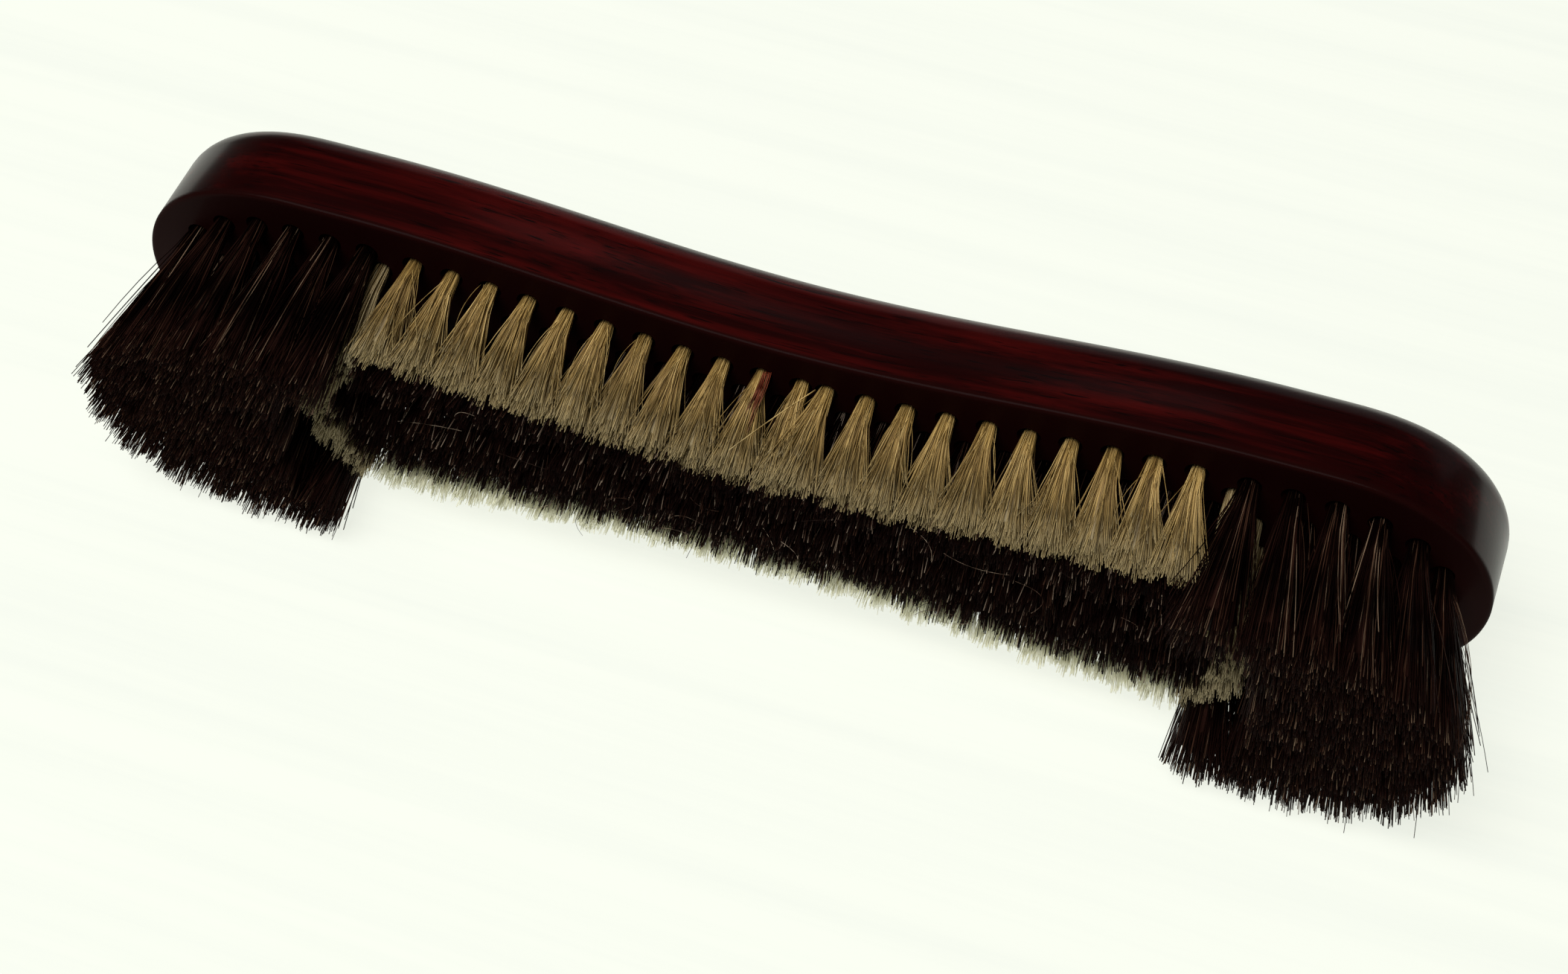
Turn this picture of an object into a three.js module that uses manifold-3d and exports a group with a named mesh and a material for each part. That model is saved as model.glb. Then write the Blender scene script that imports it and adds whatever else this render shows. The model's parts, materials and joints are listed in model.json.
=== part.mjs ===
// Billiard table brush: a waisted, rounded hardwood stock with rows of hair tufts set in blind holes.
// Millimetres, +Z up. The brush lies on its long far side: X runs along the stock, the bristles point
// to -Y and the back of the stock faces +Y. The origin is on the table, under the middle of the brush.
//
// Every tuft is folded in half round a short flat wire anchor, and driven into a blind hole. Cream
// tufts make a closed ring; dark tufts fill the ring and both ends, and the end tufts are trimmed
// longer than the rest.

import * as THREE from 'three';
import { mergeVertices } from 'three/addons/utils/BufferGeometryUtils.js';
import Module from 'manifold-3d';

const wasm = await Module();
wasm.setup();

// ---------------------------------------------------------------- driving sizes

// Stock.
const STOCK_LENGTH = 268;
const STOCK_WIDTH = 52; // across each swelling
const WAIST_WIDTH = 41; // across the middle
const STOCK_THICKNESS = 22; // bristle face to back
const SWELL_PLACE = 95; // from the middle of the stock to the middle of each swelling
const SIDE_LAND = 10; // straight stretch at each swelling, which the brush lies on
const END_FULLNESS = 2.4; // 2 is an ellipse, and more is squarer
const BACK_ROUND = 7; // rounding between the sides and the back
const FACE_CHAMFER = 0.8; // broken edge round the bristle face

// Holes, tufts and anchors.
const TUFT_RADIUS = 1.8; // at the root
const HOLE_DEPTH = 12.5;
const CLEARANCE = 0.3; // between any two pieces that touch
const ANCHOR_WIDTH = 1.6; // along the hole
const ANCHOR_THICKNESS = 0.5;
const ANCHOR_RISE = 2.2; // from the bottom of the tuft to the middle of its anchor
const ANCHOR_TURN = THREE.MathUtils.degToRad(35); // from the stock's grain, so that it can't split it

// The pattern of holes.
const EDGE_TO_ROW = 8.1; // from the stock's edge to the outer row
const PITCH = 7.8; // along a row
const SIDE_TUFTS = 21; // cream tufts along each long side
const CLOSE_PITCH = 5; // the middle pair, where the spacing from one end meets that from the other
const RING_BULGE = 13; // of the cream ring's round ends
const RING_DRAW = 1; // how far the round ends are drawn in from the ring's sides
const RING_END_TUFTS = 5;
const END_STEP = 9.6; // from the last cream side tuft to the first dark one beyond it
const PATTERN_SHIFT = 1.2; // the drilled pattern sits this far off the middle of the stock
const ARC_SPACING = 7.5; // between the outer arc of each end and the one inside it

// Bristles.
const FIELD_LENGTH = 26.5; // cream ring and the rows inside it
const END_LENGTH = 38; // both ends
const TIP_SET = 2.4; // how far use has bent the short tips towards +X
const EDGE_LEAN = 1; // how far the outer rows lean outwards at their tips
const END_SPLAY = 1; // the same for the outer arc of each end
const MID_RISE = 0.45; // where a side tuft is measured between root and tip, as a share of its length
const MID_SPREAD = 0.72; // how much of its spread it has there

// Fineness of the faceted solids.
const WAIST_STEPS = 7;
const END_STEPS = 9;
const ROUND_STEPS = 4;
const SIDE_TUFT_SIDES = 8;
const INNER_TUFT_SIDES = 6;
const CURVE_STEPS = 30;
const SLOPE_STEP = 0.01;

// ---------------------------------------------------------------- worked-out sizes

const HOLE_RADIUS = TUFT_RADIUS + CLEARANCE;
const TUFT_SINK = HOLE_DEPTH - CLEARANCE;
const ANCHOR_LENGTH = 2 * TUFT_RADIUS;
const FACE_Y = (END_LENGTH - STOCK_THICKNESS) / 2;
const LAND_START = SWELL_PLACE - SIDE_LAND / 2;
const LAND_END = SWELL_PLACE + SIDE_LAND / 2;
const HALF_LENGTH = STOCK_LENGTH / 2;
const HALF_WIDTH = STOCK_WIDTH / 2;

// ---------------------------------------------------------------- materials

const finish = (color, roughness) => new THREE.MeshStandardMaterial({ color, roughness, metalness: 0 });
const LACQUERED_WOOD = finish(0x4a0d10, 0.18);
const CREAM_HAIR = finish(0xb9a67c, 0.75);
const DARK_HAIR = finish(0x1d1110, 0.6);
const WIRE = new THREE.MeshStandardMaterial({ color: 0xa9a59c, roughness: 0.35, metalness: 1 });

// ---------------------------------------------------------------- solids

// A closed geometry through rings of points: sides between neighbouring rings and a flat cap at each
// end. The rings have equal counts, run the same way round, and follow one another along +Y.
function loft(rings) {
  const inPlan = (ring) => ring.map((point) => new THREE.Vector2(point.x, point.z));
  const turned = THREE.ShapeUtils.isClockWise(inPlan(rings[0]));
  const ordered = turned ? rings.map((ring) => [...ring].reverse()) : rings;
  const count = ordered[0].length;
  const last = (ordered.length - 1) * count;
  const triangles = [];
  for (const [a, b, c] of THREE.ShapeUtils.triangulateShape(inPlan(ordered[0]), [])) {
    triangles.push(a, b, c);
  }
  for (const [a, b, c] of THREE.ShapeUtils.triangulateShape(inPlan(ordered[ordered.length - 1]), [])) {
    triangles.push(last + a, last + c, last + b);
  }
  for (let ring = 0; ring < last; ring += count) {
    for (let side = 0; side < count; side += 1) {
      const a = ring + side;
      const b = ring + ((side + 1) % count);
      triangles.push(a, a + count, b);
      triangles.push(b, a + count, b + count);
    }
  }
  const geometry = new THREE.BufferGeometry();
  geometry.setFromPoints(ordered.flat());
  geometry.setIndex(triangles);
  return geometry;
}

function toSolid(geometry) {
  const bare = geometry.clone();
  bare.deleteAttribute('normal');
  bare.deleteAttribute('uv');
  const merged = mergeVertices(bare, 1e-4);
  const vertProperties = new Float32Array(merged.attributes.position.array);
  const triVerts = new Uint32Array(merged.index.array);
  return new wasm.Manifold(new wasm.Mesh({ numProp: 3, vertProperties, triVerts }));
}

function toGeometry(solid) {
  const { vertProperties, triVerts } = solid.getMesh();
  const geometry = new THREE.BufferGeometry();
  geometry.setAttribute('position', new THREE.BufferAttribute(vertProperties, 3));
  geometry.setIndex(new THREE.BufferAttribute(triVerts, 1));
  return geometry;
}

// ---------------------------------------------------------------- plan of the stock

// Half of an end's width at a place along it, drawn in from its sides and its tip alike.
function endWidthAt(away, inset) {
  const along = THREE.MathUtils.clamp((away - LAND_END) / (HALF_LENGTH - inset - LAND_END), 0, 1);
  return (HALF_WIDTH - inset) * Math.sqrt(1 - along ** END_FULLNESS);
}

// Half of the stock's width at a place along it.
function halfWidthAt(x) {
  const away = Math.abs(x);
  if (away < LAND_START) {
    const rise = (1 - Math.cos((Math.PI * away) / LAND_START)) / 2;
    return THREE.MathUtils.lerp(WAIST_WIDTH / 2, HALF_WIDTH, rise);
  }
  return endWidthAt(away, 0);
}

// A point of the stock's near edge in plan, as x and z, moved inwards along the edge's normal.
function edgePoint(x, inset) {
  const slope = (halfWidthAt(x + SLOPE_STEP) - halfWidthAt(x - SLOPE_STEP)) / (2 * SLOPE_STEP);
  const normal = new THREE.Vector2(-slope, 1).normalize();
  return new THREE.Vector2(x, halfWidthAt(x)).addScaledVector(normal, -inset);
}

// Places along the +X half of the stock, from just past the middle to just short of the tip.
function outlinePlaces() {
  const places = [];
  for (let step = 1; step <= WAIST_STEPS; step += 1) {
    places.push((LAND_START * step) / WAIST_STEPS);
  }
  for (let step = 0; step < END_STEPS; step += 1) {
    const turn = (Math.PI / 2) * (step / END_STEPS);
    places.push(LAND_END + (HALF_LENGTH - LAND_END) * Math.sin(turn) ** (2 / END_FULLNESS));
  }
  return places;
}

// The whole outline in plan, moved inwards.
function outline(inset) {
  const half = outlinePlaces();
  const places = [...half.map((x) => -x).reverse(), 0, ...half];
  const near = places.map((x) => edgePoint(x, inset));
  const far = near.map((point) => new THREE.Vector2(point.x, -point.y)).reverse();
  const tip = HALF_LENGTH - inset;
  return [new THREE.Vector2(-tip, 0), ...near, new THREE.Vector2(tip, 0), ...far];
}

// A line from a place on the near side, round an end of the stock, to the far side. `end` is -1 for the
// end at -X and +1 for the one at +X, and `pointAt` gives the near half's points.
function endArc(end, start, tip, pointAt) {
  const near = Array.from({ length: CURVE_STEPS }, (_, step) => {
    const turn = (Math.PI / 2) * (step / CURVE_STEPS);
    return pointAt(start + (tip - start) * Math.sin(turn));
  });
  const far = near.map((point) => new THREE.Vector2(point.x, -point.y)).reverse();
  const last = new THREE.Vector2(pointAt(tip).x, 0);
  return new THREE.SplineCurve([...near, last, ...far].map(({ x, y }) => new THREE.Vector2(x * end, y)));
}

// The line that keeps one distance inside the edge.
const edgeArc = (end, inset, start) => endArc(end, start, HALF_LENGTH, (x) => edgePoint(x, inset));

// A line further in, where the edge is too far away to follow at one distance.
function innerArc(end, inset, start) {
  return endArc(end, start, HALF_LENGTH - inset, (x) => new THREE.Vector2(x, endWidthAt(x, inset)));
}

// ---------------------------------------------------------------- pattern of tufts

// Distance from the brush's centre line to the outer rows.
const rowDistance = (x) => halfWidthAt(x) - EDGE_TO_ROW;

// Cream tufts along one side, spaced from each end towards the closer middle pair.
function sidePlaces() {
  const span = (SIDE_TUFTS - 2) * PITCH + CLOSE_PITCH;
  const fromLeft = Math.ceil(SIDE_TUFTS / 2);
  return Array.from({ length: SIDE_TUFTS }, (_, index) => {
    const step = index < fromLeft ? index * PITCH : (index - 1) * PITCH + CLOSE_PITCH;
    return PATTERN_SHIFT - span / 2 + step;
  });
}

// Where the straight rows end, and the cream ring turns round.
const ringPlace = (end) => sidePlaces()[end < 0 ? 0 : SIDE_TUFTS - 1];

const midpoints = (places) => places.slice(1).map((place, index) => (place + places[index]) / 2);

// Places of the dark rows inside the ring: one at each cream tuft's place and one past each end, or
// the same half a step along.
function centrePlaces(halfStep) {
  const extended = [ringPlace(-1) - PITCH, ...sidePlaces(), ringPlace(1) + PITCH];
  return halfStep ? midpoints(extended) : extended;
}

// The tufts of a row that follows the stock's long side. `rank` is 1 for the near row, -1 for the
// far row and 0 for the centre line. Each tip fills its own share of the row, with some overlap, and the
// bulge between root and tip stays clear of the tufts on both sides.
function straightRow(places, rank, { sides, overlap }) {
  const walls = midpoints(places);
  const first = places[0] - PITCH / 2;
  const last = places[places.length - 1] + PITCH / 2;
  return places.map((x, index) => {
    const from = walls[index - 1] ?? first;
    const to = walls[index] ?? last;
    const tipSpread = rowDistance(x) + EDGE_LEAN;
    const halfAlong = (to - from + overlap) / 2;
    const gaps = [index - 1, index + 1].map((other) => Math.abs((places[other] ?? x + PITCH) - x));
    const midRoom = THREE.MathUtils.lerp(Math.min(...gaps), to - from, MID_RISE) - CLEARANCE;
    return {
      sides,
      root: new THREE.Vector2(x, rank * rowDistance(x)),
      tip: new THREE.Vector2((from + to) / 2 + TIP_SET, rank * tipSpread),
      turn: 0,
      halfAlong,
      midAlong: Math.min(THREE.MathUtils.lerp(TUFT_RADIUS, halfAlong, MID_SPREAD), midRoom / 2),
      halfAcross: (tipSpread / 2 - CLEARANCE) / 2,
      length: FIELD_LENGTH,
    };
  });
}

// The tufts of a row that follows a curve in plan, leaning outwards at the tips, which overlap. The
// curve's own ends carry tufts too, unless the row only fills a gap between two others.
function curvedRow(curve, count, { length, lean, halfAcross, fillsGap }) {
  const last = fillsGap ? count + 1 : count - 1;
  const roots = curve.getSpacedPoints(last);
  const nextTo = (points, index, step) => points[THREE.MathUtils.clamp(index + step, 0, last)];
  const along = roots.map((_, index) => nextTo(roots, index, 1).clone().sub(nextTo(roots, index, -1)));
  const set = new THREE.Vector2((TIP_SET * length) / FIELD_LENGTH, 0);
  const tips = roots.map((root, index) => {
    const outward = new THREE.Vector2(-along[index].y, along[index].x).normalize();
    const side = Math.sign(outward.dot(root)) || 1;
    return root.clone().addScaledVector(outward, side * lean).add(set);
  });
  const tufts = roots.map((root, index) => {
    const gaps = [-1, 1].map((step) => tips[index].distanceTo(nextTo(tips, index, step)));
    return {
      sides: INNER_TUFT_SIDES,
      root,
      tip: tips[index],
      turn: along[index].angle(),
      halfAlong: Math.max(...gaps) / 2 + CLEARANCE,
      halfAcross,
      length,
    };
  });
  return fillsGap ? tufts.slice(1, -1) : tufts;
}

// The round end of the cream ring.
function ringEnd(end) {
  const x = ringPlace(end);
  const from = -end * (Math.PI / 2);
  const reach = rowDistance(x) - RING_DRAW;
  const curve = new THREE.EllipseCurve(x, 0, RING_BULGE, reach, from, from + Math.PI);
  const spread = { length: FIELD_LENGTH, lean: EDGE_LEAN, halfAcross: (ARC_SPACING - CLEARANCE) / 2 };
  return curvedRow(curve, RING_END_TUFTS, { ...spread, fillsGap: true });
}

// The dark tufts of one end: an outer arc, an inner arc, and a short line along the middle.
function endRows(end) {
  const ringSide = Math.abs(ringPlace(end));
  const ringTip = ringSide + RING_BULGE + ARC_SPACING;
  const innerInset = EDGE_TO_ROW + ARC_SPACING;
  const coreRoom = HALF_WIDTH - innerInset;
  const curves = {
    outer: edgeArc(end, EDGE_TO_ROW, ringSide + END_STEP),
    inner: innerArc(end, innerInset, ringTip),
    core: new THREE.LineCurve(
      new THREE.Vector2(end * ringTip, 0),
      new THREE.Vector2(end * (HALF_LENGTH - innerInset - ARC_SPACING), 0),
    ),
  };
  const row = (name, lean, room) => {
    const count = Math.round(curves[name].getLength() / PITCH) + 1;
    const halfAcross = (room - CLEARANCE) / 2;
    return curvedRow(curves[name], count, { length: END_LENGTH, lean, halfAcross, fillsGap: false });
  };
  return {
    outer: row('outer', END_SPLAY, ARC_SPACING),
    inner: row('inner', END_SPLAY / 2, Math.min(ARC_SPACING, coreRoom)),
    core: row('core', 0, coreRoom),
  };
}

// ---------------------------------------------------------------- shapes of tufts and holes

// One ring of a tuft or a hole: an oval of flat sides round a centre, turned to face its row. Its half
// sizes are those over its flat sides along the row, and over its corners across the row.
function ovalRing(sides, centre, turn, halfAlong, halfAcross, y) {
  return Array.from({ length: sides }, (_, index) => {
    const angle = (2 * Math.PI * (index + 0.5)) / sides;
    const reach = halfAlong / Math.cos(Math.PI / sides);
    const corner = new THREE.Vector2(Math.cos(angle) * reach, Math.sin(angle) * halfAcross);
    corner.rotateAround(new THREE.Vector2(), turn).add(centre);
    return new THREE.Vector3(corner.x, y, corner.y);
  });
}

// A tuft, or with `grow` the room that it takes with its clearance. A side tuft bulges between root
// and tip.
function tuftGeometry(tuft, grow = 0) {
  const { sides, root, tip, turn, length } = tuft;
  const ring = (centre, halfAlong, halfAcross, y) =>
    ovalRing(sides, centre, turn, halfAlong + grow, halfAcross + grow, y);
  const rings = [ring(tip, tuft.halfAlong, tuft.halfAcross, -length - grow)];
  if (sides === SIDE_TUFT_SIDES) {
    const midAcross = THREE.MathUtils.lerp(TUFT_RADIUS, tuft.halfAcross, MID_SPREAD);
    rings.push(ring(root.clone().lerp(tip, MID_RISE), tuft.midAlong, midAcross, -length * MID_RISE));
  }
  rings.push(ring(root, TUFT_RADIUS, TUFT_RADIUS, 0));
  rings.push(ring(root, TUFT_RADIUS, TUFT_RADIUS, TUFT_SINK));
  return loft(rings);
}

function holeGeometry({ sides, root, turn }) {
  return loft([
    ovalRing(sides, root, turn, HOLE_RADIUS, HOLE_RADIUS, -CLEARANCE),
    ovalRing(sides, root, turn, HOLE_RADIUS, HOLE_RADIUS, HOLE_DEPTH),
  ]);
}

// ---------------------------------------------------------------- sub-parts

// The stock's rings follow one another from the bristle face over the rounding to the flat back.
function stockGeometry() {
  const levels = [[0, FACE_CHAMFER], [FACE_CHAMFER, 0]];
  for (let step = 0; step <= ROUND_STEPS; step += 1) {
    const turn = (Math.PI / 2) * (step / ROUND_STEPS);
    const rise = STOCK_THICKNESS - BACK_ROUND * (1 - Math.sin(turn));
    levels.push([rise, BACK_ROUND * (1 - Math.cos(turn))]);
  }
  const ringAt = ([y, inset]) => outline(inset).map((point) => new THREE.Vector3(point.x, y, point.y));
  return loft(levels.map(ringAt));
}

function stock(tufts) {
  const holes = tufts.map(holeGeometry).map(toSolid);
  const solid = holes.reduce((left, hole) => left.subtract(hole), toSolid(stockGeometry()));
  return new THREE.Mesh(toGeometry(solid), LACQUERED_WOOD);
}

// The flat wire that a tuft is folded round, across its hole.
function anchor(tuft) {
  const mesh = new THREE.Mesh(new THREE.BoxGeometry(ANCHOR_LENGTH, ANCHOR_WIDTH, ANCHOR_THICKNESS), WIRE);
  mesh.position.set(tuft.root.x, TUFT_SINK - ANCHOR_RISE, tuft.root.y);
  mesh.rotation.y = ANCHOR_TURN;
  return mesh;
}

// A side tuft with the window that its anchor passes through.
function sideTuft(tuft) {
  const window = new THREE.BoxGeometry(
    2 * ANCHOR_LENGTH,
    ANCHOR_WIDTH + 2 * CLEARANCE,
    ANCHOR_THICKNESS + 2 * CLEARANCE,
  );
  window.rotateY(ANCHOR_TURN);
  window.translate(tuft.root.x, TUFT_SINK - ANCHOR_RISE, tuft.root.y);
  return new THREE.Mesh(toGeometry(toSolid(tuftGeometry(tuft)).subtract(toSolid(window))), CREAM_HAIR);
}

// Tufts whose tips run into one another, as one solid, cut back from the tufts of other rows that
// stand close to it.
function joinedRow(tufts, neighbours, material) {
  const solid = tufts.map((tuft) => toSolid(tuftGeometry(tuft))).reduce((sum, tuft) => sum.add(tuft));
  const isClose = (other) => tufts.some((tuft) => tuft.tip.distanceTo(other.tip) < 2 * PITCH);
  const room = neighbours.filter(isClose).map((other) => toSolid(tuftGeometry(other, CLEARANCE)));
  return new THREE.Mesh(toGeometry(room.reduce((left, tuft) => left.subtract(tuft), solid)), material);
}

// ---------------------------------------------------------------- the brush

function tableBrush() {
  const group = new THREE.Group();
  group.position.set(0, FACE_Y, HALF_WIDTH);
  const add = (name, mesh) => {
    mesh.name = name;
    group.add(mesh);
  };
  const separate = { sides: SIDE_TUFT_SIDES, overlap: -CLEARANCE };
  const merged = { sides: INNER_TUFT_SIDES, overlap: CLEARANCE };
  const nearRow = straightRow(sidePlaces(), 1, separate);
  const leftEnd = endRows(-1);
  const rightEnd = endRows(1);
  const rows = {
    far_cream_row: straightRow(sidePlaces(), -1, merged),
    near_dark_row: straightRow(centrePlaces(true), 0.5, merged),
    middle_dark_row: straightRow(centrePlaces(false), 0, merged),
    far_dark_row: straightRow(centrePlaces(true), -0.5, merged),
    left_cream_arc: ringEnd(-1),
    right_cream_arc: ringEnd(1),
    left_end_outer_arc: leftEnd.outer,
    left_end_inner_arc: leftEnd.inner,
    left_end_core: leftEnd.core,
    right_end_outer_arc: rightEnd.outer,
    right_end_inner_arc: rightEnd.inner,
    right_end_core: rightEnd.core,
  };
  add('stock', stock([...nearRow, ...Object.values(rows).flat()]));
  nearRow.forEach((tuft, index) => {
    const number = String(index + 1).padStart(2, '0');
    add(`near_cream_tuft_${number}`, sideTuft(tuft));
    add(`near_anchor_${number}`, anchor(tuft));
  });
  const placed = [...nearRow];
  for (const [name, tufts] of Object.entries(rows)) {
    add(name, joinedRow(tufts, placed, name.includes('cream') ? CREAM_HAIR : DARK_HAIR));
    placed.push(...tufts);
  }
  return group;
}

export default tableBrush();
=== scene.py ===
"""A billiard table brush: lacquered waisted stock, drilled and set with cream and dark hair.

The brush lies on its long far side on a pale board. X runs along the stock, the bristles point to -Y,
the back of the stock faces +Y, and Z is up. Everything is in metres.
"""

import json
import logging
import math
from dataclasses import dataclass, field
from enum import Enum
from typing import Any, Iterable, Sequence

import bmesh
import bpy
import numpy as np
from mathutils import Matrix, Vector

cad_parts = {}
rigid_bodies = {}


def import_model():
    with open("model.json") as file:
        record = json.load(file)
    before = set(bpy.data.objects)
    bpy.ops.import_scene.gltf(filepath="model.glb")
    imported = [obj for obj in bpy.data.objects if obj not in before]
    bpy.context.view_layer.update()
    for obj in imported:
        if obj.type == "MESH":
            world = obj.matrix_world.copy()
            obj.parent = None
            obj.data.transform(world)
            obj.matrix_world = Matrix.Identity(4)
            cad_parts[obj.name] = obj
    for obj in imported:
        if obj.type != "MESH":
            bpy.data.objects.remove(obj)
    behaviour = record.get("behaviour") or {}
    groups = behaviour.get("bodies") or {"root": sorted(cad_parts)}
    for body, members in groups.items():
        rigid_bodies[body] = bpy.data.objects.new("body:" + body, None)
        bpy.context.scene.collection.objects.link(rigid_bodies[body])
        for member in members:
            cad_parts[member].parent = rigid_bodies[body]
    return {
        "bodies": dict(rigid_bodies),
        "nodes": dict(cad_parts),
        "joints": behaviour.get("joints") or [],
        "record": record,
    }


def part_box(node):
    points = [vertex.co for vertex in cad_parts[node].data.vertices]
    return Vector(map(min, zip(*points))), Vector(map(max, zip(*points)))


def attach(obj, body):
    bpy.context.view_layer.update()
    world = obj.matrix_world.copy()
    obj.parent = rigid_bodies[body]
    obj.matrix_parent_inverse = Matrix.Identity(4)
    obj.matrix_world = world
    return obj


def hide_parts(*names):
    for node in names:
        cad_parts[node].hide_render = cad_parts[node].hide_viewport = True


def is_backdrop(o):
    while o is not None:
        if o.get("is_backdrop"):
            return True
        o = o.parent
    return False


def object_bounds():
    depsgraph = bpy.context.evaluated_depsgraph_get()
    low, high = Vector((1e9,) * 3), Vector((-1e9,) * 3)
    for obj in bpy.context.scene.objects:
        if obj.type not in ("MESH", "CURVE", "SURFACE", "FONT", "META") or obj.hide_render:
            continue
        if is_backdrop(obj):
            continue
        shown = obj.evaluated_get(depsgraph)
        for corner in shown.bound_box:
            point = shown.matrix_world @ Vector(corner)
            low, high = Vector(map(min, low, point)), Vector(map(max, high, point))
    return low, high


logging.basicConfig(level=logging.INFO, format="%(message)s")
LOG = logging.getLogger("table_brush")

MM = 0.001
BODY = "root"
SIDE_TUFTS = 21
SHARP_ANGLE = math.radians(32)
SAME_PLACE = 1e-6
NEARLY_FLAT = 0.999
BOARD_WHITE = (0.955, 0.985, 0.885)
WHITE = (1.0, 1.0, 1.0)
BLACK = (0.0, 0.0, 0.0)

Colour = tuple[float, float, float]
Stretch = tuple[float, float, float]


def in_mm(x: float, y: float, z: float) -> Vector:
    """A vector given in millimetres."""
    return Vector((x, y, z)) * MM


class Hair(Enum):
    """The kinds of hair in the brush, as the record's slot and the finish's own name."""

    CREAM = ("cream_hair", "clean")
    # The arcs' cream hair: a duller copy as painted shade, with tips lightened as painted light.
    PAINTED_SHADE_AND_LIGHT = ("cream_hair", "painted_shade_and_light")
    # The far row's cream hair: a lighter copy as painted light.
    PAINTED_LIGHT = ("cream_hair", "painted_light")
    STAINED = ("cream_hair", "stained")
    DARK = ("dark_hair", "short")
    LONG = ("dark_hair", "long")

    @property
    def slot(self) -> str:
        """The record's material slot."""
        return self.value[0]


class RowShape(Enum):
    """How a row of tufts runs in plan."""

    STRAIGHT = "straight"
    ARC = "arc"


# ---------- shader expressions


@dataclass(frozen=True)
class Channel:
    """One output of a shader node, which can stand in a Python expression."""

    graph: "ShaderGraph"
    socket: bpy.types.NodeSocket

    def _math(self, operation: str, first: Any, second: Any) -> "Channel":
        """Adds a Math node for one operator."""
        return self.graph.node("ShaderNodeMath", {0: first, 1: second}, operation=operation)

    def __add__(self, other: Any) -> "Channel":
        """Sum."""
        return self._math("ADD", self, other)

    __radd__ = __add__

    def __sub__(self, other: Any) -> "Channel":
        """Difference."""
        return self._math("SUBTRACT", self, other)

    def __rsub__(self, other: Any) -> "Channel":
        """Difference, reflected."""
        return self._math("SUBTRACT", other, self)

    def __mul__(self, other: Any) -> "Channel":
        """Product."""
        return self._math("MULTIPLY", self, other)

    __rmul__ = __mul__

    def __pow__(self, other: Any) -> "Channel":
        """Power."""
        return self._math("POWER", self, other)


class ShaderGraph:
    """The nodes of a material or a world, added one call at a time."""

    def __init__(self, owner: bpy.types.Material | bpy.types.World) -> None:
        """Empties the owner's node tree.

        Args:
            owner: The material or world.
        """
        owner.use_nodes = True
        self.owner = owner
        self.tree = owner.node_tree
        self.tree.nodes.clear()

    @classmethod
    def material(cls, name: str) -> "ShaderGraph":
        """An empty graph in a new material."""
        return cls(bpy.data.materials.new(name))

    def node(
        self, kind: str, inputs: dict[Any, Any] | None = None, output: int | str = 0, **settings: Any
    ) -> Channel:
        """Adds a node.

        Args:
            kind: The node's type.
            inputs: Values or channels, by socket name or number.
            output: Which output to hand back.
            **settings: The node's own settings, set before its inputs.

        Returns:
            The chosen output.
        """
        made = self.tree.nodes.new(kind)
        for name, value in settings.items():
            setattr(made, name, value)
        for key, value in (inputs or {}).items():
            socket = made.inputs[key]
            if isinstance(value, Channel):
                self.tree.links.new(value.socket, socket)
            else:
                socket.default_value = (*value, 1) if socket.type == "RGBA" else value
        return Channel(self, made.outputs[output])

    def ramp(self, value: Channel, stops: Sequence[tuple[float, Colour]]) -> Channel:
        """A colour ramp of a value."""
        made = self.node("ShaderNodeValToRGB", {0: value})
        elements = made.socket.node.color_ramp.elements
        while len(elements) < len(stops):
            elements.new(1.0)
        for element, (place, colour) in zip(elements, stops):
            element.position = place
            element.color = (*colour, 1)
        return made

    def mix(self, factor: Any, first: Any, second: Any) -> Channel:
        """A mix of two colours."""
        return self.node("ShaderNodeMix", {0: factor, 6: first, 7: second}, 2, data_type="RGBA")

    def noise(self, stretch: Stretch, detail: float, roughness: float = 0.55) -> Channel:
        """Noise in stretched object coordinates, from 0 to 1."""
        values = {"Vector": self.place(stretch), "Scale": 1.0, "Detail": detail, "Roughness": roughness}
        return self.node("ShaderNodeTexNoise", values)

    def place(self, stretch: Stretch = (1.0, 1.0, 1.0)) -> Channel:
        """Object coordinates, stretched."""
        place = self.node("ShaderNodeTexCoord", output="Object")
        return self.node("ShaderNodeMapping", {"Vector": place, "Scale": stretch})

    def end(self, kind: str, shader: Channel) -> Any:
        """Links a shader to the graph's output.

        Args:
            kind: The output node's type.
            shader: What it shows.

        Returns:
            The graph's owner.
        """
        output = self.tree.nodes.new(kind)
        self.tree.links.new(shader.socket, output.inputs["Surface"])
        return self.owner

    def surface(self, inputs: dict[str, Any]) -> bpy.types.Material:
        """Ends the graph in a Principled surface with the given sockets."""
        return self.end("ShaderNodeOutputMaterial", self.node("ShaderNodeBsdfPrincipled", inputs))


# ---------- finishes


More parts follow.
